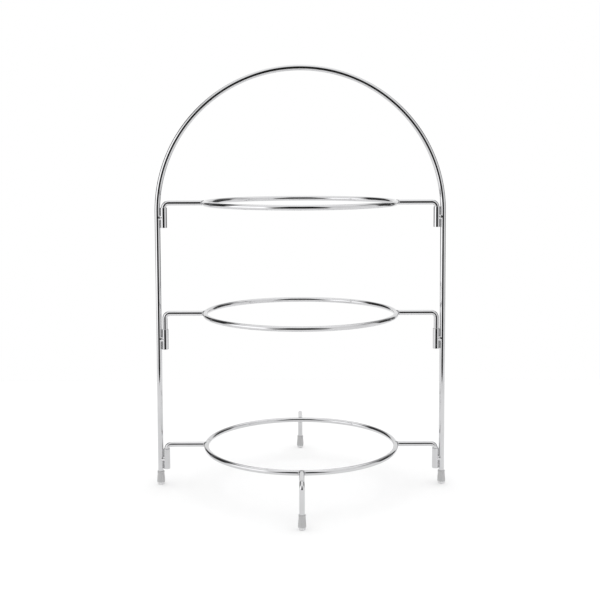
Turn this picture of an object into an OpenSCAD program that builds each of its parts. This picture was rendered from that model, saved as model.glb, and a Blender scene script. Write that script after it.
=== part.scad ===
// Three-tier wire plate stand.
// A bent wire arch carries short tube sockets, three wire rings plug into the sockets with
// bent arms, and the base ring's front and rear legs make the other two feet.
// The origin is on the floor, midway between the four feet. +Z is up and X runs from
// upright to upright.

/* [Arch] */
// Distance between the centres of the two uprights
upright_spacing = 285; // [270:1:285]
// Height of each upright's straight stretch, up to where the round top begins
straight_height = 276.8; // [276.8:0.1:320]
// Diameter of the arch's wire
arch_wire_d = 5.5; // [5:0.1:6]

/* [Tiers] */
// Diameter of each ring on its wire's centreline
ring_d = 191; // [160:1:200]
// Diameter of the wire of the rings, arms and legs
tier_wire_d = 5; // [4:0.1:5]
// Height of the base ring's centreline
base_tier_z = 40.8; // [40:0.1:50]
// Height from one tier to the next with all of them pushed home
tier_pitch = 122.6; // [100:0.1:122.6]
// How far the middle tier stands above its pushed-home height
middle_tier_proud = 11.6; // [0:0.1:14]
// Radius of the arms' and legs' bends on the wire's centreline
bend_r = 4.8; // [4:0.1:5]

/* [Sockets and pegs] */
// Outer diameter of a socket
socket_d = 6.6; // [6.4:0.1:7]
// Diameter of a socket's bore
socket_bore_d = 5.2; // [5.1:0.1:5.4]
// Length of a socket
socket_length = 20.4; // [15:0.1:22]
// Height of a seated tier's centreline above the top of its sockets
seat_height = 4.4; // [4.4:0.1:6]
// Depth of a peg's end below its tier's centreline
peg_depth = 24; // [18:0.1:24]

/* [Legs and feet] */
// Distance of the front and rear legs from the centre
leg_reach = 130; // [115:1:150]
// Height of a foot cap
cap_height = 13.5; // [10:0.1:16]
// Diameter of a side foot's cap at its top
side_cap_top_d = 7.3; // [7:0.1:8]
// Largest diameter of a side foot's cap
side_cap_d = 8; // [8:0.1:9]
// Diameter of a leg's cap at its top
leg_cap_top_d = 6.7; // [6.5:0.1:7.5]
// Largest diameter of a leg's cap
leg_cap_d = 7.5; // [7.5:0.1:8.5]
// Thickness of a cap below the end of its wire
cap_base_t = 2; // [1.5:0.1:3]

/* [Welds] */
// Diameter of the bead around each arm and leg where it meets its ring
ring_bead_d = 6.4; // [6:0.1:7]
// Diameter of the bead that joins each socket to its upright
socket_bead_d = 3.6; // [3:0.1:4]
// Height of that bead
socket_bead_h = 4.6; // [3:0.1:6]

/* [Hidden] */
$fn = 64;
chrome = "silver";
weld = "gainsboro";
vinyl = "darkgray";

upright_x = upright_spacing / 2;
ring_r = ring_d / 2;
tier_wire_r = tier_wire_d / 2;
// A hair's gap between each socket and its upright, which the bead bridges
socket_gap = 0.15;
socket_x = upright_x - arch_wire_d / 2 - socket_gap - socket_d / 2;
socket_weld_x = upright_x - arch_wire_d / 2 - socket_gap / 2;

base_seated_z = base_tier_z;
middle_seated_z = base_tier_z + tier_pitch;
top_seated_z = base_tier_z + 2 * tier_pitch;
middle_tier_z = middle_seated_z + middle_tier_proud;
seated_heights = [base_seated_z, middle_seated_z, top_seated_z];

// Depth that an arm's or leg's end is sunk into the outside of its ring by the weld
weld_sink = 1.5;
arm_start = ring_r + tier_wire_r - weld_sink;
// Distance of each ring bead's middle outside its ring
ring_bead_out = 0.6;
ring_bead_x = ring_r + tier_wire_r + ring_bead_out;
peg_chamfer = 0.5;
foot_wire_drop = base_tier_z - cap_base_t;
// Height of a cap's widest point, and the flat that it stands on
cap_wide_z = 3;
cap_flat_d = 3.6;
cap_mouth_r = 0.4;
// How far a through bore is cut past each end of its socket
bore_overrun = 1;

// A wire along X from a start to a bend, then straight down, with a chamfered end
module bent_wire(start, reach, drop, chamfer) {
    translate([start, 0, 0])
        rotate([0, 90, 0])
            cylinder(d = tier_wire_d, h = reach - bend_r - start);
    translate([reach - bend_r, 0, -bend_r])
        rotate([90, 0, 0])
            rotate_extrude(angle = 90)
                translate([bend_r, 0])
                    circle(d = tier_wire_d);
    translate([reach, 0, chamfer - drop])
        cylinder(d = tier_wire_d, h = drop - bend_r - chamfer);
    translate([reach, 0, -drop])
        cylinder(d1 = tier_wire_d - 2 * chamfer, d2 = tier_wire_d, h = chamfer);
}

module ring_wire() {
    rotate_extrude()
        translate([ring_r, 0])
            circle(d = tier_wire_d);
}

// The end of each arm and leg is shaped to the ring that it is welded to
module coped_wire(height, heading, reach, drop) {
    translate([0, 0, height])
        rotate([0, 0, heading])
            difference() {
                bent_wire(arm_start, reach, drop, peg_chamfer);
                ring_wire();
            }
}

module arm(height, heading) {
    color(chrome) coped_wire(height, heading, socket_x, peg_depth);
}

module leg(heading) {
    color(chrome) coped_wire(base_tier_z, heading, leg_reach, foot_wire_drop);
}

module ring(height) {
    color(chrome) translate([0, 0, height]) ring_wire();
}

// The bead around a wire where it meets its ring
module ring_weld(height, heading) {
    color(weld)
        translate([0, 0, height])
            rotate([0, 0, heading])
                difference() {
                    translate([ring_bead_x, 0, 0])
                        sphere(d = ring_bead_d);
                    translate([ring_r, 0, 0])
                        rotate([0, 90, 0])
                            cylinder(d = tier_wire_d, h = 2 * ring_bead_d);
                    ring_wire();
                }
}

module arch_frame() {
    color(chrome) {
        translate([0, 0, straight_height])
            rotate([90, 0, 0])
                rotate_extrude(angle = 180)
                    translate([upright_x, 0])
                        circle(d = arch_wire_d);
        for (side = [-1, 1])
            translate([side * upright_x, 0, cap_base_t])
                cylinder(d = arch_wire_d, h = straight_height - cap_base_t);
    }
}

module socket(seated_z, side) {
    color(chrome)
        translate([side * socket_x, 0, seated_z - seat_height - socket_length])
            difference() {
                cylinder(d = socket_d, h = socket_length);
                translate([0, 0, -bore_overrun])
                    cylinder(d = socket_bore_d, h = socket_length + 2 * bore_overrun);
            }
}

// One bead in each narrow gap between a socket and its upright, at the socket's mid-height
module socket_welds() {
    bead_end = socket_bead_h / 4;
    color(weld)
        for (side = [-1, 1], seated_z = seated_heights)
            translate([0, 0, seated_z - seat_height - socket_length / 2])
                difference() {
                    translate([side * socket_weld_x, 0, 0]) {
                        cylinder(d = socket_bead_d, h = socket_bead_h - 2 * bead_end, center = true);
                        for (end = [0, 180])
                            rotate([end, 0, 0])
                                translate([0, 0, socket_bead_h / 2 - bead_end])
                                    cylinder(d1 = socket_bead_d, d2 = socket_bead_d / 3, h = bead_end);
                    }
                    translate([side * upright_x, 0, 0])
                        cylinder(d = arch_wire_d, h = 2 * socket_bead_h, center = true);
                    translate([side * socket_x, 0, 0])
                        cylinder(d = socket_d, h = 2 * socket_bead_h, center = true);
                }
}

// A soft cap with a blind bore for its wire: it widens downwards to a rounded base with a
// small flat, and its mouth has a rounded lip
module foot_cap(top_d, wide_d, wire_d) {
    steps = 6;
    base_round = [
        for (i = [0:steps])
            let (a = 90 * i / steps)
                [cap_flat_d / 2 + (wide_d - cap_flat_d) / 2 * sin(a), cap_wide_z * (1 - cos(a))]
    ];
    lip_round = [
        for (i = [0:steps])
            let (a = 90 * i / steps)
                [top_d / 2 - cap_mouth_r * (1 - cos(a)), cap_height - cap_mouth_r * (1 - sin(a))]
    ];
    color(vinyl)
        difference() {
            rotate_extrude()
                polygon(concat([[0, 0]], base_round, lip_round, [[0, cap_height]]));
            translate([0, 0, cap_base_t])
                cylinder(d = wire_d, h = cap_height);
        }
}

module side_foot(side) {
    translate([side * upright_x, 0, 0])
        foot_cap(side_cap_top_d, side_cap_d, arch_wire_d);
}

module leg_foot(heading) {
    rotate([0, 0, heading])
        translate([leg_reach, 0, 0])
            foot_cap(leg_cap_top_d, leg_cap_d, tier_wire_d);
}

arch_frame();
socket(top_seated_z, -1);  // top_left_socket
socket(top_seated_z, 1);  // top_right_socket
socket(middle_seated_z, -1);  // middle_left_socket
socket(middle_seated_z, 1);  // middle_right_socket
socket(base_seated_z, -1);  // base_left_socket
socket(base_seated_z, 1);  // base_right_socket
socket_welds();
side_foot(-1);  // left_foot
side_foot(1);  // right_foot
ring(top_seated_z);  // top_ring
arm(top_seated_z, 180);  // top_left_arm
arm(top_seated_z, 0);  // top_right_arm
ring_weld(top_seated_z, 180);  // top_left_weld
ring_weld(top_seated_z, 0);  // top_right_weld
ring(middle_tier_z);  // middle_ring
arm(middle_tier_z, 180);  // middle_left_arm
arm(middle_tier_z, 0);  // middle_right_arm
ring_weld(middle_tier_z, 180);  // middle_left_weld
ring_weld(middle_tier_z, 0);  // middle_right_weld
ring(base_tier_z);  // base_ring
arm(base_tier_z, 180);  // base_left_arm
arm(base_tier_z, 0);  // base_right_arm
ring_weld(base_tier_z, 180);  // base_left_weld
ring_weld(base_tier_z, 0);  // base_right_weld
leg(-90);  // front_leg
leg(90);  // rear_leg
ring_weld(base_tier_z, -90);  // front_leg_weld
ring_weld(base_tier_z, 90);  // rear_leg_weld
leg_foot(-90);  // front_foot
leg_foot(90);  // rear_foot
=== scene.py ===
"""Looks of a three-tier chromed wire plate stand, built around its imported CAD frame. Metres, +Z up."""

import math

import bpy
import numpy as np
from mathutils import Matrix, Vector


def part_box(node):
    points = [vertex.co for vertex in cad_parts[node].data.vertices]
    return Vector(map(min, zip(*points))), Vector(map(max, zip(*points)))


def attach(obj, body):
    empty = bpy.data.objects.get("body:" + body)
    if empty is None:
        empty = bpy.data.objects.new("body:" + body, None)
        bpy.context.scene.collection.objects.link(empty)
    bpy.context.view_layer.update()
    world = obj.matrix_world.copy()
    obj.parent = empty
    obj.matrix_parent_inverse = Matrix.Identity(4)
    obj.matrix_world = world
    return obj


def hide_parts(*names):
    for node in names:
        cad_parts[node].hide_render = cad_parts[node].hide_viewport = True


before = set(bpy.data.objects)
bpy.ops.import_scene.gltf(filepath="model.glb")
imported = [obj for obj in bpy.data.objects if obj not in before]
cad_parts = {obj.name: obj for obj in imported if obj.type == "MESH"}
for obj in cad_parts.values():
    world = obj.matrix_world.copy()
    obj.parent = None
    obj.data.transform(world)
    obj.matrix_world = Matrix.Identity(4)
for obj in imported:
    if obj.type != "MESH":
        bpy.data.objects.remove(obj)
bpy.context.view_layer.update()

MM = 0.001

# ---------------------------------------------------------------- sizes that the frame's boxes don't hold

BEND_R = 4.8 * MM  # of the arms and legs, on the wire's centreline
SOCKET_BORE_R = 2.6 * MM
END_CHAMFER = 0.5 * MM  # on the ends of the arms and legs
CAP_BASE = 2.0 * MM  # a cap's thickness below its wire
CAP_WIDE_Z = 3.0 * MM  # the height of a cap's widest part
CAP_FLAT_R = 1.8 * MM  # the flat that a cap stands on
CAP_TOP_SHRINK = 0.37 * MM  # a cap's largest radius less its radius at the top
HAIR = 0.03 * MM  # a gap or an overlap too small to see

TIERS = ("top", "middle", "base")
SIDES = {"left": -1, "right": 1}


# ---------------------------------------------------------------- measures from the frame


def middle_of(node):
    low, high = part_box(node)
    return (low + high) / 2


arch_low, arch_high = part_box("arch_frame")
ARCH_WIRE_R = (arch_high.y - arch_low.y) / 2
UPRIGHT_X = arch_high.x - ARCH_WIRE_R
ARCH_SPRING_Z = arch_high.z - ARCH_WIRE_R - UPRIGHT_X
ring_low, ring_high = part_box("base_ring")
TIER_WIRE_R = (ring_high.z - ring_low.z) / 2
RING_R = ring_high.x - TIER_WIRE_R
socket_low, socket_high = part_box("base_right_socket")
SOCKET_R = (socket_high.x - socket_low.x) / 2
SOCKET_X = middle_of("base_right_socket").x


# ---------------------------------------------------------------- mesh helpers


def mesh_piece(name, verts, faces, material, rod=None, sharp=50):
    """A smooth-shaded mesh object. rod holds each point's place along and around its straightened wire."""
    mesh = bpy.data.meshes.new(name)
    mesh.from_pydata([tuple(v) for v in verts], [], faces)
    mesh.validate()
    mesh.polygons.foreach_set("use_smooth", [True] * len(mesh.polygons))
    mesh.set_sharp_from_angle(angle=math.radians(sharp))
    if rod is not None:
        attribute = mesh.attributes.new("rod", "FLOAT_VECTOR", "POINT")
        attribute.data.foreach_set("vector", np.asarray(rod, np.float32).ravel())
    mesh.materials.append(material)
    piece = bpy.data.objects.new(name, mesh)
    bpy.context.scene.collection.objects.link(piece)
    return piece


def grid_faces(rows, columns, wrap_rows=False, wrap_columns=True, first=0):
    """Quads of a grid of points, row after row, with its rows or columns joined round."""
    faces = []
    for i in range(rows if wrap_rows else rows - 1):
        for j in range(columns if wrap_columns else columns - 1):
            a, b = i * columns, (i + 1) % rows * columns
            k = (j + 1) % columns
            faces.append((first + a + j, first + a + k, first + b + k, first + b + j))
    return faces


def sweep(path, radii, binormal, sides=40, closed=False):
    """A round tube along a flat path whose plane has this normal. Returns points, faces and rod places."""
    path = np.asarray(path, float)
    radii = np.broadcast_to(np.asarray(radii, float), len(path))
    ahead = np.roll(path, -1, 0) - path
    behind = path - np.roll(path, 1, 0)
    if not closed:
        ahead[-1], behind[0] = behind[-1], ahead[0]
    ahead /= np.maximum(np.linalg.norm(ahead, axis=1), 1e-12)[:, None]
    behind /= np.maximum(np.linalg.norm(behind, axis=1), 1e-12)[:, None]
    tangent = ahead + behind
    tangent /= np.linalg.norm(tangent, axis=1)[:, None]
    up = np.asarray(binormal, float)
    side = np.cross(up, tangent)
    angle = np.linspace(0, 2 * np.pi, sides, endpoint=False)
    around = np.cos(angle)[None, :, None] * side[:, None] + np.sin(angle)[None, :, None] * up
    points = path[:, None] + radii[:, None, None] * around
    steps = np.linalg.norm(np.diff(path, axis=0), axis=1)
    along = np.concatenate([[0], np.cumsum(steps)])
    rod = np.empty(points.shape)
    rod[..., 0] = along[:, None]
    rod[..., 1] = radii[:, None] * np.cos(angle)
    rod[..., 2] = radii[:, None] * np.sin(angle)
    faces = grid_faces(len(path), sides, wrap_rows=closed)
    if not closed:
        last = (len(path) - 1) * sides
        faces.append(tuple(range(sides))[::-1])
        faces.append(tuple(range(last, last + sides)))
    return points.reshape(-1, 3), faces, rod.reshape(-1, 3)


def arc(centre, radius, start, end, steps, plane):
    """Points of an arc in the plane of two unit vectors, angles in degrees."""
    u, v = (np.asarray(axis, float) for axis in plane)
    angles = np.radians(np.linspace(start, end, steps + 1))
    return [np.asarray(centre) + radius * (math.cos(a) * u + math.sin(a) * v) for a in angles]


def straight(a, b, step):
    """Points from a to b about a step apart, without b."""
    a, b = np.asarray(a, float), np.asarray(b, float)
    count = max(1, round(np.linalg.norm(b - a) / step))
    return [a + (b - a) * i / count for i in range(count)]


def lathe(profile, centre, sides, closed=False):
    """A profile of (radius, height) points turned about the vertical through centre, as points and faces."""
    angle = np.linspace(0, 2 * np.pi, sides, endpoint=False)
    profile = np.asarray(profile, float)
    points = np.empty((len(profile), sides, 3))
    points[..., 0] = centre[0] + profile[:, None, 0] * np.cos(angle)
    points[..., 1] = centre[1] + profile[:, None, 0] * np.sin(angle)
    points[..., 2] = centre[2] + profile[:, None, 1]
    faces = grid_faces(len(profile), sides, wrap_rows=closed)
    if not closed:
        last = (len(profile) - 1) * sides
        faces.append(tuple(range(sides))[::-1])
        faces.append(tuple(range(last, last + sides)))
    return points.reshape(-1, 3), faces


def turned_about_z(points, heading):
    """Points turned by this many degrees about the vertical through the origin."""
    turn = np.array(Matrix.Rotation(math.radians(heading), 3, "Z"))
    return points @ turn.T


# ---------------------------------------------------------------- materials


class Nodes:
    """Short calls for building a node tree."""

    def __init__(self, tree):
        self.tree = tree

    def add(self, kind, links=None, **settings):
        node = self.tree.nodes.new("ShaderNode" + kind)
        for key, value in settings.items():
            setattr(node, key, value)
        for socket, value in (links or {}).items():
            self.put(node.inputs[socket], value)
        return node

    def put(self, socket, value):
        if isinstance(value, bpy.types.NodeSocket):
            self.tree.links.new(value, socket)
        else:
            socket.default_value = value

    def noise(self, vector, scale, detail=3.0, roughness=0.5):
        links = {"Vector": vector, "Scale": scale, "Detail": detail, "Roughness": roughness}
        return self.add("TexNoise", links).outputs["Fac"]

    def stretched(self, vector, factors):
        links = {0: vector, 1: factors}
        return self.add("VectorMath", links, operation="MULTIPLY").outputs[0]

    def ramp(self, value, low, high, to_low, to_high):
        links = {"Value": value, "From Min": low, "From Max": high, "To Min": to_low, "To Max": to_high}
        return self.add("MapRange", links, interpolation_type="SMOOTHSTEP").outputs["Result"]

    def math(self, operation, *values):
        return self.add("Math", dict(enumerate(values)), operation=operation).outputs[0]

    def mix(self, factor, a, b):
        node = self.add("Mix", {"Factor": factor}, data_type="RGBA")
        first, second = (socket for socket in node.inputs if socket.type == "RGBA")
        self.put(first, a)
        self.put(second, b)
        return next(socket for socket in node.outputs if socket.type == "RGBA")

    def bump(self, height, strength, distance, normal=None):
        links = {"Height": height, "Strength": strength, "Distance": distance}
        if normal is not None:
            links["Normal"] = normal
        return self.add("Bump", links).outputs["Normal"]


def new_material(name):
    """A material, the nodes for building it and its shader's inputs."""
    material = bpy.data.materials.new(name)
    material.use_nodes = True
    shader = next(node for node in material.node_tree.nodes if node.type == "BSDF_PRINCIPLED")
    return material, Nodes(material.node_tree), shader.inputs


def opaque(tint, brightness=1.0):
    """A tint made darker or brighter, with full alpha."""
    return tuple(min(1.0, brightness * channel) for channel in tint) + (1.0,)


def chrome(name, tint, base_roughness, seed):
    """Bright chrome plate over drawn wire: faint lines along it, fine scratches, pits and a light haze."""
    material, n, shader = new_material(name)
    line_density = (60, 2600, 2600)
    scratch_density = (900, 5200, 5200)
    haze_density, pit_density = 38.0, 1500.0
    haze_roughness, scratch_roughness, pit_roughness = 0.03, 0.07, 0.10
    relief_strength, relief_depth = 0.03, 0.02 * MM
    place = n.add("TexCoord").outputs["Object"]
    rod = n.add("Attribute", attribute_name="rod").outputs["Vector"]
    offset = (seed, 0.37 * seed, 0.71 * seed)
    shifted = n.add("VectorMath", {0: rod, 1: offset}, operation="ADD").outputs[0]
    lines = n.noise(n.stretched(shifted, line_density), 1.0, 2.0)
    scratches = n.ramp(n.noise(n.stretched(shifted, scratch_density), 1.0, 1.0), 0.70, 0.78, 0.0, 1.0)
    haze = n.ramp(n.noise(place, haze_density, 4.0, 0.6), 0.42, 0.72, 0.0, 1.0)
    pits = n.ramp(n.noise(place, pit_density, 2.0), 0.74, 0.80, 0.0, 1.0)
    roughness = n.math("MULTIPLY", haze, haze_roughness)
    roughness = n.math("ADD", roughness, n.math("MULTIPLY", scratches, scratch_roughness))
    roughness = n.math("ADD", roughness, n.math("MULTIPLY", pits, pit_roughness))
    n.put(shader["Roughness"], n.math("ADD", roughness, base_roughness))
    n.put(shader["Base Color"], n.mix(haze, opaque(tint), opaque(tint, 0.93)))
    shader["Metallic"].default_value = 1.0
    relief = n.bump(lines, relief_strength, relief_depth)
    marks = n.math("ADD", scratches, pits)
    n.put(shader["Normal"], n.bump(marks, relief_strength, relief_depth, relief))
    return material


def weld_chrome(name, tint, base_roughness):
    """Plated weld metal, with soft ripples and a duller skin than the wire's."""
    material, n, shader = new_material(name)
    ripple_density, stain_density = 900.0, 420.0
    ripple_roughness = 0.12
    place = n.add("TexCoord").outputs["Object"]
    ripple = n.noise(place, ripple_density, 3.0, 0.55)
    roughest = base_roughness + ripple_roughness
    n.put(shader["Roughness"], n.ramp(ripple, 0.3, 0.7, base_roughness, roughest))
    n.put(shader["Base Color"], n.mix(n.noise(place, stain_density), opaque(tint), opaque(tint, 0.88)))
    shader["Metallic"].default_value = 1.0
    n.put(shader["Normal"], n.bump(ripple, 0.2, 0.05 * MM))
    return material


def vinyl(name, tint):
    """Soft grey vinyl, a little translucent: cloudy, with a painted glow below its wire's end for light
    showing through the cap, scuffed near the floor.
    """
    material, n, shader = new_material(name)
    cloud_density, skin_density, scuff_density, grain_density = 260.0, 700.0, 1400.0, 1100.0
    painted_glow_full_z, painted_glow_end_z, scuff_end_z = 1.2 * MM, 3.3 * MM, 2.0 * MM
    place = n.add("TexCoord").outputs["Object"]
    height = n.add("SeparateXYZ", {0: place}).outputs["Z"]
    clouds = n.math("MULTIPLY", n.noise(place, cloud_density, 3.0, 0.6), 0.12)
    # painted light: below the wire's end the cap is mixed towards 1.9 times its tint, standing in for floor
    # light seen through the vinyl
    painted_glow_below_wire = n.ramp(height, painted_glow_full_z, painted_glow_end_z, 0.9, 0.0)
    n.put(shader["Base Color"], n.mix(n.math("ADD", painted_glow_below_wire, clouds), opaque(tint), opaque(tint, 1.9)))
    near_floor = n.ramp(height, 0.0, scuff_end_z, 0.25, 0.0)
    scuffs = n.math("MULTIPLY", near_floor, n.noise(place, scuff_density, 4.0))
    skin = n.ramp(n.noise(place, skin_density, 3.0), 0.3, 0.7, 0.28, 0.38)
    n.put(shader["Roughness"], n.math("ADD", skin, scuffs))
    shader["IOR"].default_value = 1.53
    shader["Transmission Weight"].default_value = 0.10
    shader["Subsurface Weight"].default_value = 0.25
    shader["Subsurface Radius"].default_value = (1.0, 1.0, 1.0)
    shader["Subsurface Scale"].default_value = 1.2 * MM
    n.put(shader["Normal"], n.bump(n.noise(place, grain_density, 3.0), 0.05, 0.04 * MM))
    return material


WIRE_TINT = (0.62, 0.62, 0.63)
SOCKET_TINT = (0.61, 0.61, 0.62)
# painted highlight: the socket beads' chrome is made brighter than the wire's, standing in for the lamp
# light their curved faces reflect
BEAD_TINT_WITH_PAINTED_HIGHLIGHT = (0.74, 0.74, 0.75)
COLLAR_TINT = (0.50, 0.50, 0.51)
VINYL_TINT = (0.465, 0.465, 0.468)
arch_material = chrome("arch_chrome", WIRE_TINT, base_roughness=0.035, seed=0.3)
tier_material = chrome("tier_chrome", WIRE_TINT, base_roughness=0.04, seed=1.9)
socket_material = chrome("socket_chrome", SOCKET_TINT, base_roughness=0.06, seed=3.1)
bead_material_with_painted_highlight = weld_chrome("weld_chrome", BEAD_TINT_WITH_PAINTED_HIGHLIGHT, base_roughness=0.2)
collar_material = weld_chrome("collar_chrome", COLLAR_TINT, base_roughness=0.08)
foot_material = vinyl("foot_vinyl", VINYL_TINT)


# ---------------------------------------------------------------- pieces


def settle(piece, body, slot, *nodes):
    """Puts a piece on its body, in place of these CAD nodes. The slot is not used."""
    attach(piece, body)
    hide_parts(*nodes)


def make_arch():
    """One wire: up the left side, over the round top and down the right."""
    foot_z = arch_low.z + HAIR
    chamfer, spacing, arc_steps = 0.4 * MM, 8 * MM, 150
    up = [(-UPRIGHT_X, 0, foot_z), (-UPRIGHT_X, 0, foot_z + chamfer)]
    up += straight((-UPRIGHT_X, 0, foot_z + 2 * chamfer), (-UPRIGHT_X, 0, ARCH_SPRING_Z), spacing)
    over = arc((0, 0, ARCH_SPRING_Z), UPRIGHT_X, 180, 0, arc_steps, ((1, 0, 0), (0, 0, 1)))
    down = [(-x, y, z) for x, y, z in reversed(up)]
    path = np.array([*up, *over, *down])
    radii = np.full(len(path), ARCH_WIRE_R)
    radii[[0, -1]] -= chamfer
    points, faces, rod = sweep(path, radii, (0, 1, 0), sides=44)
    piece = mesh_piece("chrome_arch", points, faces, arch_material, rod)
    settle(piece, "frame", "arch_chrome", "arch_frame")


def make_socket(tier, side):
    """A cut tube with rounded lips. Loops of points next to its lips keep its walls' shading straight."""
    node = f"{tier}_{side}_socket"
    low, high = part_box(node)
    length, lip, lip_steps = high.z - low.z, 0.25 * MM, 5
    centre = ((low.x + high.x) / 2, (low.y + high.y) / 2, low.z)

    def rounded(radius, height, start, end):
        angles = np.radians(np.linspace(start, end, lip_steps))
        return [(radius + lip * math.cos(a), height + lip * math.sin(a)) for a in angles]

    low_wall, high_wall = lip + HAIR, length - lip - HAIR
    profile = [
        *rounded(SOCKET_R - lip, lip, -90, 0),
        (SOCKET_R, low_wall),
        (SOCKET_R, high_wall),
        *rounded(SOCKET_R - lip, length - lip, 0, 90),
        *rounded(SOCKET_BORE_R + lip, length - lip, 90, 180),
        (SOCKET_BORE_R, high_wall),
        (SOCKET_BORE_R, low_wall),
        *rounded(SOCKET_BORE_R + lip, lip, 180, 270),
    ]
    points, faces = lathe(profile, centre, sides=64, closed=True)
    rod = np.stack([points[:, 2], points[:, 0] - centre[0], points[:, 1] - centre[1]], 1)
    piece = mesh_piece(f"{tier}_{side}_tube_socket", points, faces, socket_material, rod, sharp=80)
    settle(piece, "frame", "socket_chrome", node)


def make_ring(tier):
    """A closed wire ring with the faint upset of its own butt weld beside the left arm."""
    node = f"{tier}_ring"
    height = middle_of(node).z
    seam_angle, seam_swell, seam_width = 174.0, 0.10 * MM, 0.45 * MM
    fine_reach, fine_steps, coarse_steps = 1.5, 26, 238
    fine = np.linspace(seam_angle - fine_reach, seam_angle + fine_reach, fine_steps)[1:-1]
    coarse = np.linspace(seam_angle + fine_reach, seam_angle + 360 - fine_reach, coarse_steps)
    angles = np.concatenate([fine, coarse])
    turned = np.radians(angles)
    path = np.stack([RING_R * np.cos(turned), RING_R * np.sin(turned), np.full(len(turned), height)], 1)
    from_seam = np.radians(np.abs((angles - seam_angle + 180) % 360 - 180)) * RING_R
    radii = TIER_WIRE_R + seam_swell * np.exp(-((from_seam / seam_width) ** 2))
    points, faces, rod = sweep(path, radii, (0, 0, 1), closed=True)
    piece = mesh_piece(f"{tier}_wire_ring", points, faces, tier_material, rod)
    settle(piece, f"{tier}_tier", "tier_chrome", node)


def bent_wire(name, node, body, heading, reach, end_z):
    """A wire that leaves its ring level, bends and runs straight down. heading is its angle about +Z."""
    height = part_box(node)[1].z - TIER_WIRE_R
    spacing, bend_steps, bend_margin = 4 * MM, 22, 1 * MM
    drop = end_z - height
    path = straight((RING_R, 0, 0), (reach - BEND_R, 0, 0), spacing)
    path += arc((reach - BEND_R, 0, -BEND_R), BEND_R, 90, 0, bend_steps, ((1, 0, 0), (0, 0, 1)))
    path += straight((reach, 0, -BEND_R - bend_margin), (reach, 0, drop + 2 * END_CHAMFER), spacing)
    path += [(reach, 0, drop + part * END_CHAMFER) for part in (1.01, 0.5, 0)]
    path = np.array([tuple(p) for p in path])
    radii = np.full(len(path), TIER_WIRE_R)
    radii[-2:] -= (0.4 * END_CHAMFER, END_CHAMFER)
    points, faces, rod = sweep(path, radii, (0, 1, 0))
    points = turned_about_z(points, heading) + (0, 0, height)
    piece = mesh_piece(name, points, faces, tier_material, rod + (heading, 0, 0))
    settle(piece, body, "tier_chrome", node)


def smooth_min(a, b, reach):
    """The smaller of two distances, blended where they differ by less than reach."""
    h = np.maximum(reach - np.abs(a - b), 0) / reach
    return np.minimum(a, b) - h * h * reach / 4


def unevenness(p, size):
    """A gentle repeatable wobble of up to one and a half times size either way, for weld metal."""
    x, y, z = (p / (1 * MM)).T
    return size * (np.sin(2.1 * x + 1.3 * y) * np.sin(1.7 * z + 0.6) + 0.5 * np.sin(3.9 * y - 2.7 * z + x))


def settle_on(distance, p, rounds=10):
    """Moves points along the distance's slope until they lie on the surface where it is zero."""
    small, least_slope = 1e-6, 1e-9
    steps = small * np.eye(3)
    for _ in range(rounds):
        slope = np.stack([(distance(p + step) - distance(p - step)) / (2 * small) for step in steps], 1)
        steepness = np.maximum((slope ** 2).sum(1), least_slope)
        p = p - (distance(p) / steepness)[:, None] * slope
    return p


def collar_points(height, heading, columns=56, rows=14):
    """The fillet where a wire along +X meets its ring, as a closed band of loops, turned to its heading.

    The band starts on the wire and climbs to near the ring's crown. Its back is closed inside the two wires.
    """
    blend, edge, climb = 1.3 * MM, 1.22 * MM, math.radians(84)
    wobble, wobble_reach = 0.05 * MM, 1.2 * MM
    r = TIER_WIRE_R

    def distance(p):
        wire = np.hypot(p[:, 1], p[:, 2]) - r
        ring = np.hypot(np.hypot(p[:, 0], p[:, 1]) - RING_R, p[:, 2]) - r
        near = np.clip(1 - np.maximum(np.abs(wire), np.abs(ring)) / wobble_reach, 0, 1)
        return smooth_min(wire, ring, blend) - unevenness(p + heading * MM, wobble) * near

    a = np.linspace(2 * np.pi, 0, columns, endpoint=False)
    start = RING_R + np.sqrt((r + edge) ** 2 - (r * np.sin(a)) ** 2)
    on_wire = np.stack([start, r * np.cos(a), r * np.sin(a)], 1)
    about = (r + edge) * np.cos(a) / RING_R
    out = RING_R + r * np.cos(climb * np.sin(a))
    on_ring = np.stack([out * np.cos(about), out * np.sin(about), r * np.sin(climb * np.sin(a))], 1)
    t = np.linspace(0, 1, rows)[:, None, None]
    band = settle_on(distance, ((1 - t) * on_wire + t * on_ring).reshape(-1, 3)).reshape(rows, columns, 3)
    band[0, :, 1:] *= 1 - HAIR / r
    ring_line = np.stack([RING_R * np.cos(about), RING_R * np.sin(about), np.zeros(columns)], 1)
    band[-1] += (ring_line - band[-1]) * HAIR / r
    back_x, back_r = RING_R + 0.8 * r, 0.75 * r
    back = np.stack([np.full(columns, back_x), back_r * np.cos(a), back_r * np.sin(a)], 1)
    points = np.concatenate([band, back[None]]).reshape(-1, 3)
    faces = grid_faces(rows + 1, columns, wrap_rows=True)
    return turned_about_z(points, heading) + (0, 0, height), faces


def make_collar(name, node, body, heading):
    """The weld where an arm or a leg meets its ring."""
    points, faces = collar_points(middle_of(node).z, heading)
    piece = mesh_piece(name, points, faces, collar_material, sharp=70)
    settle(piece, body, "weld_chrome", node)


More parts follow.
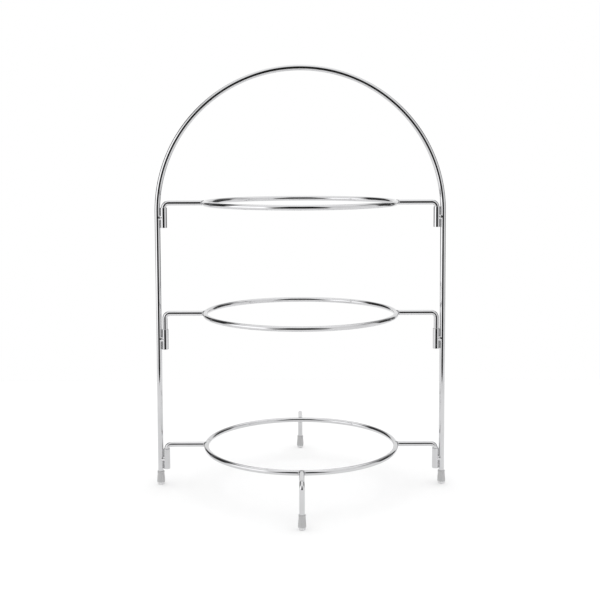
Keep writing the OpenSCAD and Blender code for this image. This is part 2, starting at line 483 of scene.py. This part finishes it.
def bead_points(side, height, rows=25, columns=15):
    """The weld metal between a socket and its upright, tapering out above and below.

    It is built for the right upright, as loops of points at rising heights, and mirrored for the left.
    """
    half, blend, least_blend = 2.6 * MM, 3.6 * MM, 0.16 * MM
    mound, mound_width, mound_depth = 0.3 * MM, 1.6 * MM, 1.0 * MM
    wobble = 0.04 * MM
    upright_reach, socket_reach, least_width = math.radians(72), math.radians(62), 0.06
    socket_bite, upright_bite = 0.35 * MM, 0.6 * MM
    levels = np.linspace(-1, 1, rows)
    widths = np.sqrt(np.clip(1 - levels ** 2, 0, 1)) * (1 - least_width) + least_width

    def distance(p):
        upright = np.hypot(p[:, 0] - UPRIGHT_X, p[:, 1]) - ARCH_WIRE_R
        socket = np.hypot(p[:, 0] - SOCKET_X, p[:, 1]) - SOCKET_R
        fullness = np.clip(1 - (p[:, 2] / half) ** 2, 0, 1)
        bulge = mound * fullness * np.exp(-((upright - socket) / mound_width) ** 2)
        bulge = bulge * np.exp(-(np.minimum(upright, socket) / mound_depth) ** 2)
        filled = smooth_min(upright, socket, blend * fullness + least_blend)
        return filled - bulge - unevenness(p + height, wobble)

    loops = []
    for level, width in zip(levels, widths):
        z = level * half
        u, s = upright_reach * width, socket_reach * width
        on_upright = np.array([UPRIGHT_X - ARCH_WIRE_R * math.cos(u), -ARCH_WIRE_R * math.sin(u), z])
        on_socket = np.array([SOCKET_X + SOCKET_R * math.cos(s), -SOCKET_R * math.sin(s), z])
        t = np.linspace(0, 1, columns)[:, None]
        front = settle_on(distance, (1 - t) * on_upright + t * on_socket)
        front[:, 2] = z
        front[0] += (np.array([UPRIGHT_X, 0, z]) - front[0]) * HAIR / ARCH_WIRE_R
        front[-1] += (np.array([SOCKET_X, 0, z]) - front[-1]) * HAIR / SOCKET_R
        rear = front[::-1] * (1, -1, 1)
        in_socket = np.array([[SOCKET_X + SOCKET_R - socket_bite, 0, z]])
        in_upright = np.array([[UPRIGHT_X - ARCH_WIRE_R + upright_bite, 0, z]])
        loops.append(np.concatenate([front, in_socket, rear, in_upright]))
    count = len(loops[0])
    points = np.concatenate(loops) * (side, 1, 1) + (0, 0, height)
    faces = grid_faces(rows, count)
    faces.append(tuple(range(count))[::-1])
    faces.append(tuple(range((rows - 1) * count, rows * count)))
    if side > 0:
        faces = [face[::-1] for face in faces]
    return points, faces


def make_socket_beads():
    """The six beads between the sockets and the uprights, as one piece."""
    all_points, all_faces = [], []
    for tier in TIERS:
        for name, side in SIDES.items():
            points, faces = bead_points(side, middle_of(f"{tier}_{name}_socket").z)
            first = sum(len(p) for p in all_points)
            all_points.append(points)
            all_faces += [tuple(first + i for i in face) for face in faces]
    points = np.concatenate(all_points)
    piece = mesh_piece("socket_weld_beads", points, all_faces, bead_material_with_painted_highlight, sharp=70)
    settle(piece, "frame", "weld_chrome", "socket_welds")


def make_foot(name, node, body, wire_r):
    """A dipped vinyl cap: a rolled lip, a soft taper, a rounded base and a blind bore for the wire."""
    low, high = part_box(node)
    height, wide = high.z - low.z, (high.x - low.x) / 2
    top = wide - CAP_TOP_SHRINK
    bore, lip, bevel = wire_r + HAIR, 0.30 * MM, 0.1 * MM
    neck_r, neck_z = top - 0.55 * lip, height - 2.4 * lip
    base_steps, taper_steps, lip_steps = 12, 8, 9
    taper_start, lip_start = 0.12, -70
    profile = []
    for a in np.radians(np.linspace(0, 90, base_steps)):
        profile.append((CAP_FLAT_R + (wide - CAP_FLAT_R) * math.sin(a), CAP_WIDE_Z * (1 - math.cos(a))))
    for t in np.linspace(taper_start, 1, taper_steps):
        ease = t * t * (3 - 2 * t)
        profile.append((wide + (neck_r - wide) * ease, CAP_WIDE_Z + t * (neck_z - CAP_WIDE_Z)))
    for a in np.radians(np.linspace(lip_start, 90, lip_steps)):
        profile.append((top - lip + lip * math.cos(a), height - lip + lip * math.sin(a)))
    profile += [(bore + bevel, height), (bore, height - bevel)]
    bore_end = ((0, 1.0), (0, 0.4), (0.15, 0.1), (0.5, 0))
    profile += [(bore - inward * MM, CAP_BASE + above * MM) for inward, above in bore_end]
    centre = ((low.x + high.x) / 2, (low.y + high.y) / 2, low.z)
    points, faces = lathe(profile, centre, sides=56)
    piece = mesh_piece(name, points, faces, foot_material, sharp=60)
    settle(piece, body, "foot_vinyl", node)


make_arch()
make_socket_beads()
for tier in TIERS:
    make_ring(tier)
    for side_name, side in SIDES.items():
        facing = 0 if side > 0 else 180
        tier_body = f"{tier}_tier"
        arm = f"{tier}_{side_name}_arm"
        peg_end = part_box(arm)[0].z
        make_socket(tier, side_name)
        bent_wire(f"{tier}_{side_name}_wire_arm", arm, tier_body, facing, SOCKET_X, peg_end)
        make_collar(f"{tier}_{side_name}_weld_collar", f"{tier}_{side_name}_weld", tier_body, facing)
for leg, facing in (("front", -90), ("rear", 90)):
    reach = abs(middle_of(f"{leg}_foot").y)
    wire_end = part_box(f"{leg}_leg")[0].z + HAIR
    bent_wire(f"{leg}_wire_leg", f"{leg}_leg", "base_tier", facing, reach, wire_end)
    make_collar(f"{leg}_leg_weld_collar", f"{leg}_leg_weld", "base_tier", facing)
    make_foot(f"{leg}_cap", f"{leg}_foot", "base_tier", TIER_WIRE_R)
for side_name in SIDES:
    make_foot(f"{side_name}_cap", f"{side_name}_foot", "frame", ARCH_WIRE_R)


# ---------------------------------------------------------------- studio

BOARD_FRONT = 0.47
BOARD_SIDE = 1.3


def make_floor():
    """A plain pale table board. The chrome sees the studio past its front and rear edges."""
    material, n, shader = new_material("floor_paint")
    dull_white, bright_white = (0.91, 0.91, 0.91), (0.94, 0.94, 0.94)
    place = n.add("TexCoord").outputs["Object"]
    n.put(shader["Base Color"], n.mix(n.noise(place, 6.0), opaque(dull_white), opaque(bright_white)))
    n.put(shader["Roughness"], n.ramp(n.noise(place, 30.0), 0.3, 0.7, 0.85, 0.95))
    shader["Specular IOR Level"].default_value = 0.1
    x, y = BOARD_SIDE, BOARD_FRONT
    corners = [(-x, -y, 0), (x, -y, 0), (x, y, 0), (-x, y, 0)]
    floor = mesh_piece("floor", corners, [(0, 1, 2, 3)], material)


def make_light(name, place, target, size, radiance):
    """A soft rectangular lamp of this radiance, facing target."""
    lamp = bpy.data.lights.new(name, "AREA")
    lamp.shape = "RECTANGLE"
    lamp.size, lamp.size_y = size
    lamp.energy = radiance * math.pi * size[0] * size[1]
    holder = bpy.data.objects.new(name, lamp)
    holder.location = place
    holder.rotation_euler = (Vector(target) - Vector(place)).to_track_quat("-Z", "Y").to_euler()
    holder.visible_camera = False
    holder.visible_glossy = False
    bpy.context.scene.collection.objects.link(holder)


def make_world():
    """A white studio. Only reflections see its soft boxes, the dark gaps and the dim room in front.

    Angles are in degrees. An azimuth is 0 straight behind the stand and 90 to its right.
    """
    world = bpy.data.worlds.new("studio")
    bpy.context.scene.world = world
    world.use_nodes = True
    world.node_tree.nodes.clear()
    n = Nodes(world.node_tree)
    axes = n.add("SeparateXYZ", {0: n.add("TexCoord").outputs["Generated"]}).outputs
    azimuth = n.math("DEGREES", n.math("ARCTAN2", axes["X"], axes["Y"]))
    elevation = n.math("DEGREES", n.math("ARCSINE", axes["Z"]))
    aside = n.math("ABSOLUTE", azimuth)
    from_front = n.math("SUBTRACT", 180.0, aside)
    narrowing = 0.35
    narrowed = n.math("MULTIPLY", n.math("MAXIMUM", elevation, 0.0), narrowing)
    room_across = n.math("ADD", from_front, narrowed)

    def between(value, low, high, soft=8.0):
        rise = n.ramp(value, low - soft / 2, low + soft / 2, 0.0, 1.0)
        fall = n.ramp(value, high - soft / 2, high + soft / 2, 1.0, 0.0)
        return n.math("MULTIPLY", rise, fall)

    def patch(sky, level, across, angles, heights):
        """The sky with this level between two angles across and two heights, in degrees."""
        inside = n.math("MULTIPLY", between(across, *angles), between(elevation, *heights))
        return n.add("MapRange", {"Value": inside, "To Min": sky, "To Max": level}).outputs[0]

    wall = 0.98
    sky = patch(wall, 1.1, aside, (-90, 270), (44, 120))  # the ceiling
    sky = patch(sky, 1.5, aside, (-90, 50), (48, 120))  # the soft box overhead, behind the stand
    sky = patch(sky, 0.45, aside, (-90, 100), (26, 44))  # the grey band below the ceiling
    sky = patch(sky, 1.7, azimuth, (-140, -92), (-20, 30))  # the soft box at the left
    sky = patch(sky, 0.03, azimuth, (-84, -27), (-6, 46))  # the dark gap at the left
    sky = patch(sky, 0.05, azimuth, (36, 80), (-27, 32))  # the dark gap at the right
    sky = patch(sky, 0.02, room_across, (-90, 34), (-120, 50))  # the dim room in front
    mirrored = n.add("LightPath").outputs["Is Glossy Ray"]
    seen = n.add("MapRange", {"Value": mirrored, "To Min": 1.0, "To Max": sky}).outputs[0]
    shade = n.add("Background", {"Color": seen, "Strength": 1.0})
    n.add("OutputWorld", {0: shade.outputs[0]})


def make_camera():
    """The photograph's viewpoint, about a metre in front and a little above the middle of the stand."""
    place = Vector((-0.0062, -1.0375, 0.3375))
    yaw, pitch, roll = -0.0034, 0.0780, 0.0042
    ahead = Vector((math.sin(yaw) * math.cos(pitch), math.cos(yaw) * math.cos(pitch), -math.sin(pitch)))
    right = Vector((math.cos(yaw), -math.sin(yaw), 0))
    down = ahead.cross(right)
    across = right * math.cos(roll) + down * math.sin(roll)
    upward = right * math.sin(roll) - down * math.cos(roll)
    turn = Matrix((across, upward, -ahead)).transposed()
    lens = bpy.data.cameras.new("camera")
    lens.sensor_width = 36.0
    lens.lens = 62.5
    lens.shift_x, lens.shift_y = 0.0158, -0.113
    camera = bpy.data.objects.new("camera", lens)
    camera.matrix_world = Matrix.Translation(place) @ turn.to_4x4()
    bpy.context.scene.collection.objects.link(camera)
    bpy.context.scene.camera = camera


make_floor()
make_world()
make_light("overhead", place=(0, 0.1, 1.5), target=(0, 0, 0.2), size=(1.4, 0.9), radiance=1.1)
make_camera()
bpy.context.scene.view_settings.view_transform = "Standard"
